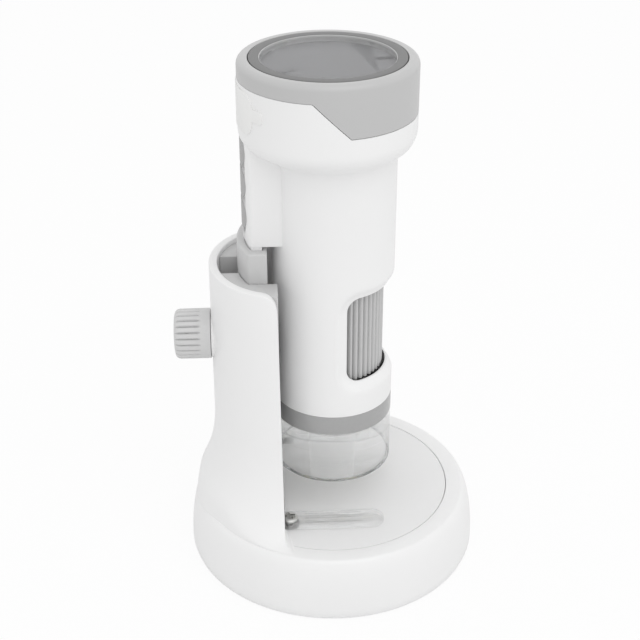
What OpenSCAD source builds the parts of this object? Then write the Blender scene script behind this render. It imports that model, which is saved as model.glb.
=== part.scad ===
// Handheld microscope with a round display, held in a rack-and-pinion stand.
// Millimetres, +Z up. The origin is on the optical axis at the underside of
// the base. The column stands towards -X and the window for the focus wheel
// faces +X.

/* [Base] */
// Radius of the base at its widest
base_r = 55; // [50:1:70]
// Height of the stage above the table
base_h = 24; // [20:1:32]
// How far the side leans in from the foot to the top edge
base_lean = 5; // [3:0.5:8]
// Height of the upright band at the foot of the side
base_edge = 2; // [1:0.5:4]
// Thickness of the moulded walls of the base
base_wall = 3; // [2:0.5:4]
// Radius of the round seam where the stage plate drops in
stage_r = 44.5; // [41:0.5:46]
// Thickness of the stage plate
stage_t = 3; // [2:0.5:4]
// Thickness of the cover under the base
cover_t = 2.2; // [1.5:0.1:3]
// Thickness of the soft pad that the base stands on
pad_t = 1; // [0.6:0.1:2]

/* [Column] */
// Height of the rim of the column above the table
column_top = 120.1; // [100:1:122]
// How far the open front of the column reaches forward past the back of the barrel
column_lap = 2.4; // [2:0.1:2.8]
// Half depth of the column from its front edges to its back
column_a = 24.7; // [23:0.1:26]
// Half width of the column
column_b = 28.5; // [27.5:0.5:31]
// Wall of the column
column_wall = 3; // [2:0.5:3.5]
// Height at which the foot of the column starts to flare
flare_top = 60; // [40:1:75]
// How far the foot flares out over the base
flare_out = 18.5; // [8:0.5:18.5]
// Radius of the upper front corners of the column
column_corner = 7; // [4:0.5:12]

/* [Guide and carriage] */
// Height of the top face of the guide block
guide_top = 118.4; // [100:1:118.4]
// Half width of the carriage
carriage_b = 15.2; // [14.6:0.1:16]
// How far the carriage's back stands out behind the back of the grip spine
carriage_out = 2.3; // [2:0.1:2.8]
// Gap between the barrel and the front face of the carriage
carriage_gap = 1.7; // [1.2:0.1:2.4]
// Height of the top of the carriage
carriage_top = 129.6; // [126:0.2:130.4]
// Height of the cradle part of the carriage
cradle_h = 29.6; // [22:0.2:32]
// Thickness of the slide below the cradle
slide_t = 4.5; // [3:0.1:5]
// Length of the slide below the cradle
slide_l = 60; // [40:1:62]
// Width of the slot that the rack runs in
slot_w = 13; // [12.6:0.1:14]
// Travel of the carriage below its place in the picture
travel_down = 11; // [6:0.5:11]
// Travel of the carriage above its place in the picture
travel_up = 12; // [6:0.5:12]

/* [Knob and pinion] */
// Height of the knob's axis
knob_z = 90.8; // [88:0.2:94]
// Radius of the knob over its flutes
knob_r = 9.2; // [7:0.1:12]
// Length of the knob
knob_l = 13.4; // [10:0.2:18]
// Number of flutes round the knob
knob_flutes = 24; // [16:1:36]
// Radius of the knob's shaft
shaft_r = 2; // [1.5:0.1:2.4]
// Module of the rack and the pinion
gear_module = 0.75; // [0.7:0.01:0.77]
// Number of teeth on the pinion
gear_teeth = 12; // [12:1:12]

/* [Stage clips] */
// Half width of a clip
clip_r = 4.7; // [3.5:0.1:4.8]
// Distance between the two round ends of a clip
clip_l = 30.4; // [20:0.2:31]
// Thickness of a clip
clip_t = 2; // [1.2:0.1:2.2]
// How far the clip screws stand in front of the column's open front
clip_lead = 2.1; // [1.8:0.1:3.6]
// Where the clip screws stand, beside the optical axis
clip_y = 28; // [27.8:0.1:30]
// Radius of a clip screw's head
clip_head_r = 3.2; // [2.6:0.1:3.6]
// Radius of a clip screw's shank
clip_shank_r = 1.5; // [1.2:0.1:1.8]

/* [Barrel] */
// Radius of the barrel
barrel_r = 22; // [20:0.1:24]
// Wall of the barrel
barrel_wall = 2; // [1.4:0.1:2.2]
// Height of the lower end of the barrel
barrel_bottom = 66.4; // [65:0.2:68]
// Where the window for the focus wheel starts, in front of the axis
window_x = 3.7; // [1:0.1:8]
// Height of the window's lower edge
window_bottom = 81; // [78:0.5:86]
// Height of the window's upper edge
window_top = 115.7; // [110:0.5:116.5]
// Corner radius of the window
window_corner = 5; // [3:0.5:6]
// Height of the dark band under the barrel
band_h = 7.5; // [6:0.5:9]
// Height of the clear hood under the band
hood_h = 20.8; // [14:0.2:20.8]
// Wall of the clear hood
hood_wall = 1.2; // [0.8:0.1:1.6]

/* [Head] */
// How much larger the head's radius is than the barrel's
head_out = 8.5; // [8:0.1:9]
// How far the head's axis lies behind the optical axis
head_x = 2; // [1.8:0.1:2.4]
// Height of the top of the head
head_top = 194.6; // [192:0.2:200]
// Depth of the grey ring at the back of the head
ring_back = 6.1; // [5:0.1:8]
// Depth of the grey ring at the front of the head
ring_front = 18; // [14:0.2:20]
// Width of the head's rim round the dark bezel
head_rim = 3.9; // [3.1:0.1:5.5]
// Width of the dark bezel round the display window
bezel_w = 4; // [3.1:0.1:6.6]
// Height at which the shoulder leaves the barrel
shoulder_bottom = 160.5; // [158:0.5:161]
// Height at which the shoulder reaches the head's full radius
shoulder_top = 170; // [168:0.5:171]

/* [Grip and buttons] */
// Half width of the grip spine at the back
spine_b = 12.2; // [11.8:0.1:12.4]
// How much larger the radius of the spine's back, about the head axis, is than the barrel's
spine_out = 7.8; // [7.6:0.1:8]
// Height of the spine's lower end
spine_bottom = 131; // [130.8:0.1:132]
// Height of a button
button_h = 10; // [8:0.2:10.4]
// Width of a button
button_w = 18.8; // [14:0.2:19]
// Distance between buttons
button_pitch = 11.6; // [11.4:0.1:12]
// Height of the middle button
button_z = 152; // [151.5:0.1:152.5]

/* [Port cover] */
// Height of the soft port cover
port_h = 14.6; // [13:0.2:15]
// Height of the middle of the port cover
port_z = 179.8; // [179.6:0.1:180]
// Half of the angle that the port cover takes of the head
port_half = 33; // [31:0.5:34]

/* [Hidden] */

// Gap at a seam between two fixed pieces
seam = 0.15;
// Gap between pieces that slide or swing past each other
clear = 0.3;
// Radial gap of a running fit
run_fit = 0.05;
// Extra length of a cut, so that it runs past the face
over = 1;
$fn = 96;

// Base
base_top_r = base_r - base_lean;
stage_z = base_h - stage_t;
deck_z = stage_z - base_wall;
side_steps = 8;
side_power_share = 1.9;
rim_rise = 0.4;
cavity_r = base_top_r - base_wall;
cover_r = base_r - base_wall;
cover_z = pad_t + cover_t;
pad_inset = 1;
screw_head_r = 2.4;
screw_head_h = 1.2;
screw_r = 1.2;
boss_r = 3.6;
base_screw_count = 4;
base_screw_ring = cavity_r - boss_r;
base_screw_l = 8;

// Column
column_x = column_lap - barrel_r;
column_back = column_x - column_a;
column_steps = 40;
inner_a = column_a - column_wall;
inner_b = column_b - column_wall;
flare_rings = 9;
foot_over = 2.3;
foot_lean_share = 0.175;

// Guide block and carriage
guide_set_back = 0.8;
guide_x = column_x - guide_set_back;
spine_r = barrel_r + spine_out;
carriage_r = spine_r + carriage_out;
carriage_front = barrel_r + carriage_gap;
cradle_z = carriage_top - cradle_h;
shelf_room = 3;
shelf_z = cradle_z - travel_down - shelf_room;
carriage_back = -head_x - carriage_r;
slide_front = carriage_back + slide_t;
slide_z = cradle_z - slide_l;
pocket_room = 1;
pocket_z = slide_z - travel_down - pocket_room;
guide_screw_inset = 6;
guide_screw_edge = 3;
guide_screw_x = guide_x - guide_screw_inset;
guide_screw_y = carriage_b + screw_r + guide_screw_edge;
guide_screw_l = 10;

// Rack and pinion
gear_pitch = PI * gear_module;
gear_r = gear_module * gear_teeth / 2;
gear_tip_r = gear_r + gear_module;
gear_angle = 20;
gear_root_share = 1.3;
rack_tip_share = 0.75;
gear_root_r = gear_r - gear_root_share * gear_module;
gear_base_r = gear_r * cos(gear_angle);
gear_play = 0.12;
gear_steps = 5;
rack_tip = rack_tip_share * gear_module;
rack_root = gear_root_share * gear_module;
rack_foot = 1.5;
rack_up = floor((travel_down + 1.5 * gear_pitch) / gear_pitch);
rack_down = floor((travel_up + 1.5 * gear_pitch) / gear_pitch);
slot_z = knob_z - (rack_down + 0.5) * gear_pitch - travel_down - shelf_room;
bush_r = 2 * shaft_r;
bush_proud = 0.9;
bush_x = column_back + column_wall + bush_proud;
pinion_x = bush_x + clear;
pinion_room = 0.4;
pinion_end = carriage_back - pinion_room;
knob_x = column_back - clear;
knob_collar = 4;
knob_edge = 1.2;
knob_edge_share = 0.3;
flute_r = 0.75;
shaft_depth = 10.7;

// Stage clips
clip_x = -column_x - clip_lead;
clip_lift = 0.3;
clip_z = base_h + clip_lift;
clip_top = clip_z + clip_t;
clip_washer_r = 3.8;
clip_rail_w = 0.9;
clip_rail_h = 0.5;
clip_rail_gap = 2.6;
clip_rail_start = 5.6;
clip_rail_l = 21;
clip_head_h = 1.4;
clip_slot_w = 0.9;
clip_slot_share = 1.4;
clip_slot_turns = [20, 110];
relief_h = clip_lift + clip_t + clip_head_h + 2 * clear;

// Barrel, focus wheel and lens
barrel_in_r = barrel_r - barrel_wall;
wheel_over = 1.8;
wheel_gap = 1.7;
wheel_wall = 4.3;
wheel_r = barrel_in_r - wheel_gap;
wheel_groove = 0.8;
wheel_in_r = wheel_r - wheel_wall;
wheel_ribs = 52;
rib_foot_share = 0.42;
rib_top_share = 0.26;
wheel_z = window_bottom - wheel_over;
wheel_top = window_top + wheel_over;
flange_t = 2;
flange_step = 2;
flange_r = wheel_in_r - flange_step;
lens_cell_r = wheel_in_r - 2 * run_fit;
lens_cell_rise = 9.6;
lens_cell_z = wheel_z + lens_cell_rise;
lens_cell_h = 15;
lens_bore_r = 5;
lens_r = 7;
lens_t = 3;
chassis_z = wheel_top + clear;
chassis_t = 2;
sensor_gap = 7.5;
sensor_r = barrel_in_r - sensor_gap;
board_t = 1.6;
battery_t = 7;
battery_w = 24;
battery_h = 35;
battery_gap = 0.4;
battery_x = battery_gap - sqrt(pow(barrel_in_r, 2) - pow(battery_w / 2, 2));

// Band, lamps and hood
band_z = barrel_bottom - band_h;
band_wall = 1;
band_in_r = barrel_r - band_wall;
spigot_t = 1.2;
band_spigot_h = 2.6;
band_floor_rise = 3.4;
band_floor_z = band_z + band_floor_rise;
band_floor_t = 1.4;
band_step = 12;
band_eye_r = band_in_r - band_step;
led_board_gap = 1.2;
led_board_eye = 2;
led_board_r = band_in_r - led_board_gap;
led_inset = 5.8;
led_ring = led_board_r - led_inset;
led_count = 8;
led_r = 1.7;
led_h = 1.1;
hood_z = band_z - hood_h;
hood_in_r = barrel_r - hood_wall;
hood_collar_wall = 0.8;
hood_collar_in_r = band_in_r - seam - hood_collar_wall;
hood_spigot_h = 1.7;

// Head
head_r = barrel_r + head_out;
bezel_r = head_r - head_rim;
window_r = bezel_r - bezel_w;
ring_wall = 2.1;
ring_lip_h = 2.4;
ring_round = 1.6;
ring_back_z = head_top - ring_back;
ring_front_z = head_top - ring_front;
ring_back_turn = 102.6;
ring_front_turn = 79;
head_wall = 3.2;
head_in_r = head_r - head_wall;
ledge_reach = 1.1;
ledge_foot = 0.5;
ledge_in_r = window_r - ledge_reach;
ledge_t = 2;
bezel_h = 4.6;
ledge_z = head_top - bezel_h;
window_t = 1.6;
window_sunk = 0.7;
shoulder_round = 3;
shoulder_step = 0.5;
shoulder_set_in = 2.3;
shoulder_edge_t = 0.1;
shoulder_low_r = barrel_r + shoulder_step;
shoulder_high_r = head_r - shoulder_set_in;
shoulder_wall = 2.4;

// Port cover, boards and sockets
usb_w = 9;
usb_h = 3.2;
usb_l = 7.4;
usb_y = 6.2;
card_w = 12;
card_h = 1.7;
card_l = 13;
card_y = -7.2;
main_board_z = port_z - usb_h / 2 - board_t;
board_gap = 0.6;
board_shelf = 4.3;
main_board_r = head_in_r - board_gap;
board_shelf_r = head_in_r - board_shelf;
board_screw_ring = board_shelf_r + screw_r + board_gap;
board_screw_turns = [60, 253, 330];
board_screw_l = 3.2;
port_t = 1.5;
port_floor_r = head_r - port_t - clear;
port_tab_turn = 9.5;
port_tab_h = 4.4;
port_tab_z = port_z + 0.8;
port_hinge_turn = 5;
port_gap_turn = 0.5;
port_tab_foot_turn = 1;
usb_x = seam - head_x - sqrt(pow(port_floor_r, 2) - pow(usb_y + usb_w / 2, 2));
card_x = seam - head_x - sqrt(pow(port_floor_r, 2) - pow(card_w / 2 - card_y, 2));
socket_depth_share = 0.8;
usb_mouth_shares = [0.92, 0.8];
card_mouth_shares = [0.92, 0.5];

// Grip spine and buttons
spine_wall = 2;
spine_lap = 4;
spine_front = barrel_r - spine_lap;
tongue_inset = 0.6;
tongue_set_back = 1.5;
tongue_front = carriage_front + tongue_set_back;
tongue_l = 14.5;
button_fit = 0.25;
button_proud = 0.3;
button_lip = 0.5;
button_lip_t = 1;
button_press = 0.6;
switch_l = 1.5;
switch_w = 4;
switch_gap = 0.1;
switch_x = -head_x - spine_r + spine_wall + clear + button_lip_t + button_press + switch_gap;
button_board_t = 1;
button_board_w = 16;
button_board_gap = 1;

// Points of a half oval that bulges towards -X, from -Y round to +Y
function half_oval(x0, a, b) =
    [for (i = [0:column_steps]) let (t = 180 * i / column_steps - 90) [x0 - a * cos(t), b * sin(t)]];

// Outline of the base's side, from the foot up to the top edge
function side_profile() =
    [for (i = [0:side_steps]) let (t = 90 * i / side_steps)
        [base_top_r + base_lean * pow(cos(t), 2 / side_power_share),
         base_edge + (base_h - base_edge) * pow(sin(t), 2 / side_power_share)]];

// Height of one ring of the column, the first one in the deck and the last one at the rim
function flare_z(i) =
    i == 0 ? deck_z
    : i > flare_rings ? column_top
    : flare_top - (flare_top - base_h) * cos(90 * (i - 1) / (flare_rings - 1));

// Share of the flare at a height: a quarter ellipse that ends level with the base's top
function flare_share(z) = 1 - sqrt(1 - pow(min(1, max(0, flare_top - z) / (flare_top - base_h)), 2));

// A point of the foot, kept within a cone that goes on from the base's side,
// but never inside the straight column
function in_foot(p, straight, z) =
    let (limit = base_top_r + foot_over - foot_lean_share * max(0, z - base_h))
    p * min(1, max(limit, norm(straight)) / norm(p));

// Involute of an angle, in degrees
function involute(a) = tan(a) * 180 / PI - a;

// Half of the angle that a pinion tooth takes at radius r
function tooth_half(r) =
    90 / gear_teeth - gear_play / gear_r * 90 / PI
    + involute(gear_angle) - involute(acos(min(1, gear_base_r / r)));

function polar(r, t) = [r * cos(t), r * sin(t)];
function tooth_r(i) = gear_base_r + (gear_tip_r - gear_base_r) * i / gear_steps;

// Outline of the pinion, with one tooth along its first axis
function pinion_outline() =
    [for (k = [0:gear_teeth - 1]) let (c = 360 * k / gear_teeth, root = tooth_half(gear_base_r))
        each concat(
            [polar(gear_root_r, c - root)],
            [for (i = [0:gear_steps]) polar(tooth_r(i), c - tooth_half(tooth_r(i)))],
            [for (i = [gear_steps:-1:0]) polar(tooth_r(i), c + tooth_half(tooth_r(i)))],
            [polar(gear_root_r, c + root)])];

// Outline of the rack, with a gap that faces the pinion's first tooth
function rack_outline() =
    let (flank = gear_pitch / 4 - gear_play / 2,
         tip = flank - rack_tip * tan(gear_angle),
         root = flank + rack_root * tan(gear_angle),
         back = slot_w / 2 - clear)
    concat(
        [[back, -(rack_down + 0.5) * gear_pitch],
         [gear_r + rack_root, -(rack_down + 0.5) * gear_pitch]],
        [for (k = [-rack_down:rack_up - 1]) let (z = (k + 0.5) * gear_pitch)
            each [[gear_r + rack_root, z - root], [gear_r - rack_tip, z - tip],
                  [gear_r - rack_tip, z + tip], [gear_r + rack_root, z + root]]],
        [[gear_r + rack_root, (rack_up + 0.5) * gear_pitch],
         [back, (rack_up + 0.5) * gear_pitch]]);

// Outline of the focus wheel's ribs
function wheel_outline() =
    [for (k = [0:wheel_ribs - 1]) let (c = 360 / wheel_ribs)
        each [polar(wheel_r - wheel_groove, (k - rib_foot_share) * c),
              polar(wheel_r, (k - rib_top_share) * c), polar(wheel_r, (k + rib_top_share) * c),
              polar(wheel_r - wheel_groove, (k + rib_foot_share) * c)]];

// A rectangle with round corners, from corner (x0, y0) to corner (x1, y1)
module round_rect(x0, y0, x1, y1, r) {
    translate([x0 + r, y0]) square([x1 - x0 - 2 * r, y1 - y0]);
    translate([x0, y0 + r]) square([x1 - x0, y1 - y0 - 2 * r]);
    for (x = [x0 + r, x1 - r])
        for (y = [y0 + r, y1 - r])
            translate([x, y]) circle(r, $fn = 48);
}

// A slot shape with round ends, centred on the origin
module stadium(w, h) {
    square([w - h, h], center = true);
    for (s = [-1, 1])
        translate([s * (w - h) / 2, 0]) circle(h / 2, $fn = 48);
}

// Extrudes a shape drawn in the X-Z plane along Y, both ways
module along_y(half) {
    rotate([90, 0, 0]) translate([0, 0, -half]) linear_extrude(2 * half) children();
}

// Extrudes a shape drawn in the Y-Z plane along X, from x0 to x1
module along_x(x0, x1) {
    translate([x0, 0, 0]) rotate([90, 0, 90]) linear_extrude(x1 - x0) children();
}

// A ring between two radii and two heights
module ring(r_out, r_in, z0, z1) {
    rotate_extrude() translate([r_in, z0]) square([r_out - r_in, z1 - z0]);
}

// Part of a ring, from one angle to another
module ring_sector(r_out, r_in, z0, z1, from, to) {
    rotate(from) rotate_extrude(angle = to - from)
        translate([r_in, z0]) square([r_out - r_in, z1 - z0]);
}

module disc(r, z0, z1) {
    translate([0, 0, z0]) cylinder(h = z1 - z0, r = r);
}

// Moves its children to the head's own axis
module on_head() {
    translate([-head_x, 0, 0]) children();
}

// A screw that points up, its head's underside at height z
module screw_up(z, length) {
    translate([0, 0, z]) cylinder(h = screw_head_h, r = screw_head_r, $fn = 32);
    translate([0, 0, z + screw_head_h]) cylinder(h = length, r = screw_r, $fn = 24);
}

module base_screw_places() {
    for (i = [0:base_screw_count - 1])
        rotate(45 + 360 * i / base_screw_count) translate([base_screw_ring, 0, 0]) children();
}

module guide_screw_places() {
    for (s = [-1, 1])
        translate([guide_screw_x, s * guide_screw_y, 0]) children();
}

module clip_places() {
    for (s = [-1, 1])
        translate([-clip_x, s * clip_y, 0]) children();
}

// The column's outer shape: half ovals that grow towards the base
module column_body() {
    straight = half_oval(column_x, column_a, column_b);
    points = [for (i = [0:flare_rings + 1])
        let (z = flare_z(i), out = flare_out * flare_share(z),
             grown = half_oval(column_x, column_a + out, column_b + out))
        each [for (j = [0:column_steps]) let (q = in_foot(grown[j], straight[j], z)) [q[0], q[1], z]]];
    n = column_steps + 1;
    sides = [for (i = [0:flare_rings]) for (j = [0:n - 1]) let (k = (j + 1) % n)
        each [[i * n + j, (i + 1) * n + k, (i + 1) * n + j], [i * n + j, i * n + k, (i + 1) * n + k]]];
    floor_face = [[for (j = [n - 1:-1:0]) j]];
    top_face = [[for (j = [0:n - 1]) (flare_rings + 1) * n + j]];
    polyhedron(points, concat(sides, floor_face, top_face));
}

// Room in the foot for the round end of each clip
module clip_relief() {
    clip_places() translate([0, 0, base_h]) cylinder(h = relief_h, r = clip_r + 2 * clear);
}

// The stage plate's outline: a disc cut off in front of the column
module stage_outline(gap) {
    intersection() {
        circle(stage_r - gap);
        translate([column_x + clear + gap, -stage_r]) square([stage_r - column_x, 2 * stage_r]);
    }
}

module stand_shell() {
    color("whitesmoke") difference() {
        union() {
            rotate_extrude() polygon(concat(
                [[0, rim_rise], [base_r - rim_rise, rim_rise]], side_profile(), [[0, base_h]]));
            column_body();
        }
        // The soft upper front corners of the column
        along_y(column_b + over) translate([column_x - column_corner, column_top - column_corner])
            difference() {
                square(column_corner + over);
                circle(column_corner);
            }
        // The hollow of the column, open to the front
        translate([0, 0, base_h]) linear_extrude(column_top)
            polygon(concat(half_oval(column_x, inner_a, inner_b),
                [[column_x + over, inner_b], [column_x + over, -inner_b]]));
        // The seat of the stage plate, the hollow of the base and the seat of its cover
        translate([0, 0, stage_z]) linear_extrude(stage_t + over) stage_outline(0);
        difference() {
            disc(cavity_r, cover_z - over, deck_z);
            base_screw_places() translate([0, 0, cover_z]) cylinder(h = deck_z, r = boss_r);
        }
        disc(cover_r, 0, cover_z);
        clip_relief();
        clip_places() translate([0, 0, deck_z - over])
            cylinder(h = base_wall + 2 * over, r = clip_shank_r, $fn = 32);
        base_screw_places() translate([0, 0, cover_z - over])
            cylinder(h = base_screw_l, r = screw_r, $fn = 24);
        guide_screw_places() translate([0, 0, deck_z - over])
            cylinder(h = base_h - deck_z + 2 * over, r = screw_r, $fn = 24);
        translate([column_back - over, 0, knob_z]) rotate([0, 90, 0])
            cylinder(h = column_wall + 2 * over, r = bush_r);
    }
}

module stage_plate() {
    color("white") difference() {
        translate([0, 0, stage_z]) linear_extrude(stage_t) stage_outline(seam);
        clip_places() translate([0, 0, stage_z - over])
            cylinder(h = stage_t + 2 * over, r = clip_shank_r, $fn = 32);
    }
}

module bottom_cover() {
    color("gainsboro") difference() {
        disc(cover_r - seam, pad_t, cover_z);
        base_screw_places() {
            translate([0, 0, pad_t - over]) cylinder(h = screw_head_h + over, r = screw_head_r, $fn = 32);
            translate([0, 0, pad_t]) cylinder(h = cover_t + over, r = screw_r, $fn = 24);
        }
    }
}

module non_slip_pad() {
    color("dimgray") disc(cover_r - pad_inset, 0, pad_t);
}

module base_screws() {
    color("silver") base_screw_places() screw_up(pad_t, base_screw_l);
}

module guide_screws() {
    color("silver") guide_screw_places() screw_up(deck_z - screw_head_h, guide_screw_l);
}

module clip_screws() {
    color("silver") clip_places() difference() {
        union() {
            translate([0, 0, deck_z]) cylinder(h = clip_top + run_fit - deck_z, r = clip_shank_r, $fn = 32);
            translate([0, 0, clip_top + run_fit]) cylinder(h = clip_head_h, r = clip_head_r);
        }
        for (turn = clip_slot_turns)
            rotate(turn) translate([0, 0, clip_top + run_fit + clip_head_h])
                cube([clip_slot_share * clip_head_r, clip_slot_w, clip_head_h], center = true);
    }
}

// A clip that points to +X, its pivot at the origin
module stage_clip() {
    difference() {
        union() {
            linear_extrude(clip_t) {
                circle(clip_r);
                translate([clip_l, 0]) circle(clip_r);
                translate([0, -clip_r]) square([clip_l, 2 * clip_r]);
            }
            translate([0, 0, run_fit - clip_lift]) cylinder(h = clip_lift, r = clip_washer_r);
            for (k = [-1:1])
                translate([clip_rail_start, k * clip_rail_gap - clip_rail_w / 2, 0])
                    cube([clip_rail_l, clip_rail_w, clip_t + clip_rail_h]);
        }
        translate([0, 0, -over]) cylinder(h = clip_t + 2 * over, r = clip_shank_r + 2 * run_fit);
    }
}

module stage_clip_near() {
    color("lightcyan", 0.6) translate([-clip_x, -clip_y, clip_z]) stage_clip();
}

module stage_clip_far() {
    color("lightcyan", 0.6) translate([-clip_x, clip_y, clip_z]) stage_clip();
}

// The carriage from above, grown by gap and cut off at x = front
module carriage_outline(gap, front) {
    intersection() {
        on_head() circle(carriage_r + gap);
        translate([carriage_back - over, -carriage_b - gap])
            square([front - carriage_back + over, 2 * (carriage_b + gap)]);
    }
}

module guide_block() {
    color("silver") difference() {
        translate([0, 0, base_h]) linear_extrude(guide_top - base_h) intersection() {
            polygon(half_oval(column_x, inner_a - seam, inner_b - seam));
            translate([column_back, -column_b]) square([guide_x - column_back, 2 * column_b]);
        }
        // The bay that the cradle sinks into, open to the front
        translate([0, 0, shelf_z]) linear_extrude(guide_top) carriage_outline(clear, guide_x + over);
        // The front of the block, set back behind the barrel
        translate([-carriage_front - clear, -carriage_b - clear, base_h - over])
            cube([carriage_front, 2 * (carriage_b + clear), guide_top]);
        // The closed channel of the slide
        translate([0, 0, pocket_z]) linear_extrude(guide_top) carriage_outline(clear, slide_front + clear);
        // The slot of the rack and the pinion
        translate([column_back, -slot_w / 2, slot_z])
            cube([carriage_back + over - column_back, slot_w, guide_top]);
        clip_relief();
        guide_screw_places() translate([0, 0, base_h - over])
            cylinder(h = guide_screw_l - base_h + deck_z + over, r = screw_r, $fn = 24);
    }
}

module knob_bush() {
    color("goldenrod") along_x(column_back, bush_x) translate([0, knob_z]) difference() {
        circle(bush_r);
        circle(shaft_r + run_fit);
    }
}

module knob() {
    color("gainsboro") translate([knob_x, 0, knob_z]) rotate([0, -90, 0]) difference() {
        rotate_extrude() polygon([[0, 0], [knob_r, 0], [knob_r, knob_l - knob_edge],
            [knob_r - knob_edge_share * knob_edge, knob_l - knob_edge_share * knob_edge],
            [knob_r - knob_edge, knob_l], [0, knob_l]]);
        for (i = [0:knob_flutes - 1])
            rotate(360 * i / knob_flutes) translate([knob_r, 0, knob_collar])
                cylinder(h = knob_l, r = flute_r, $fn = 16);
        translate([0, 0, -over]) cylinder(h = shaft_depth + over, r = shaft_r);
    }
}

module knob_shaft() {
    color("lightsteelblue") along_x(knob_x - shaft_depth + run_fit, pinion_end)
        translate([0, knob_z]) circle(shaft_r);
}

module pinion() {
    color("goldenrod") along_x(pinion_x, pinion_end) translate([0, knob_z]) difference() {
        polygon(pinion_outline());
        circle(shaft_r);
    }
}

// The tongue of the grip spine from above, grown by gap
module tongue_outline(gap) {
    intersection() {
        on_head() circle(spine_r - tongue_inset + gap);
        translate([carriage_back, tongue_inset - spine_b - gap])
            square([-tongue_front + gap - carriage_back, 2 * (spine_b - tongue_inset + gap)]);
    }
}

module carriage() {
    color("darkgray") difference() {
        union() {
            translate([0, 0, cradle_z]) linear_extrude(cradle_h) carriage_outline(0, -carriage_front);
            translate([0, 0, slide_z]) linear_extrude(slide_l) carriage_outline(0, slide_front);
            along_x(pinion_x, carriage_back + rack_foot) translate([0, knob_z]) polygon(rack_outline());
        }
        // The pocket that the tongue of the grip spine stands in
        translate([0, 0, spine_bottom - tongue_l]) linear_extrude(tongue_l) tongue_outline(clear);
    }
}

// The grip spine from above, drawn in by inset and open at the front
module spine_outline(inset, front) {
    intersection() {
        on_head() circle(spine_r - inset);
        translate([carriage_back, inset - spine_b])
            square([front - carriage_back, 2 * (spine_b - inset)]);
    }
}

// The grey ring round the head, grown by gap: deep in front, shallow behind
module ring_body(gap) {
    low_x = -head_x + head_r * cos(ring_front_turn) - gap;
    high_x = -head_x + head_r * cos(ring_back_turn) - gap;
    in_r = head_r - ring_wall - gap;
    difference() {
        on_head() rotate_extrude() {
            difference() {
                translate([in_r, ring_front_z - gap])
                    square([ring_wall + gap, head_top - ring_front_z + gap]);
                translate([head_r - ring_round, head_top - ring_round]) difference() {
                    square(ring_round + over);
                    circle(ring_round, $fn = 48);
                }
            }
            translate([bezel_r + seam - gap, head_top - ring_lip_h - gap])
                square([in_r - bezel_r - seam + gap + over, ring_lip_h + gap]);
        }
        along_y(head_r + over) polygon([
            [-head_x - head_r - over, ring_front_z - gap - over], [low_x, ring_front_z - gap - over],
            [low_x, ring_front_z - gap], [high_x, ring_back_z - gap],
            [-head_x - head_r - over, ring_back_z - gap]]);
    }
}

// The hollow for the port cover, its tab and its hinge
module port_hollow() {
    on_head() {
        ring_sector(head_r + over, port_floor_r, port_z - port_h / 2, port_z + port_h / 2,
            180 - port_half - port_hinge_turn, 180 + port_half);
        ring_sector(head_r + over, port_floor_r, port_tab_z - port_tab_h / 2 - seam,
            port_tab_z + port_tab_h / 2 + seam, 180, 180 + port_half + port_tab_turn + port_gap_turn);
    }
}

// The space of each socket, grown by gap and reaching out by front
module usb_space(gap, front) {
    translate([usb_x - front, usb_y - usb_w / 2 - gap, main_board_z + board_t - gap])
        cube([front + usb_l + gap, usb_w + 2 * gap, usb_h + 2 * gap]);
}

module card_space(gap, front) {
    translate([card_x - front, card_y - card_w / 2 - gap, main_board_z - card_h - gap])
        cube([front + card_l + gap, card_w + 2 * gap, card_h + 2 * gap]);
}

module shoulder(inset) {
    hull() {
        translate([0, 0, shoulder_bottom - inset])
            cylinder(h = shoulder_edge_t, r = shoulder_low_r - inset, $fn = 64);
        on_head() translate([0, 0, shoulder_top - shoulder_round + inset])
            cylinder(h = shoulder_edge_t, r = shoulder_high_r - inset, $fn = 64);
    }
}

module barrel_shell() {
    color("white") difference() {
        union() {
            ring(barrel_r, barrel_in_r, barrel_bottom, shoulder_bottom);
            ring(barrel_r - over, flange_r, wheel_z - clear - flange_t, wheel_z - clear);
            difference() {
                shoulder(0);
                shoulder(shoulder_wall);
                disc(barrel_in_r, shoulder_bottom - over, shoulder_bottom + over);
            }
            on_head() rotate_extrude() difference() {
                translate([board_shelf_r, shoulder_top - shoulder_round])
                    square([head_r - board_shelf_r,
                        head_top - ring_lip_h - seam - shoulder_top + shoulder_round]);
                translate([head_r - shoulder_round, shoulder_top - shoulder_round]) difference() {
                    translate([0, -over]) square(shoulder_round + over);
                    translate([0, shoulder_round]) circle(shoulder_round, $fn = 48);
                }
                translate([0, main_board_z]) square([head_in_r, ledge_z - ledge_t - main_board_z]);
                translate([0, ledge_z]) square([head_in_r, head_top - ledge_z]);
            }
            on_head() ring(head_in_r + ledge_foot, ledge_in_r, ledge_z - ledge_t, ledge_z);
        }
        ring_body(seam);
        port_hollow();
        usb_space(seam, head_wall);
        card_space(seam, head_wall);
        on_head() board_screw_places() translate([0, 0, main_board_z - board_screw_l])
            cylinder(h = board_screw_l + over, r = screw_r, $fn = 24);
        // The opening that the spine cover closes
        translate([-head_x - head_r - over, -spine_b - seam, spine_bottom - seam])
            cube([head_x + head_r + over + seam - spine_front, 2 * (spine_b + seam),
                shoulder_top - spine_bottom + seam]);
        // The window of the focus wheel
        along_y(barrel_r + over) round_rect(window_x, window_bottom,
            barrel_r + 2 * window_corner, window_top, window_corner);
    }
}

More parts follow.
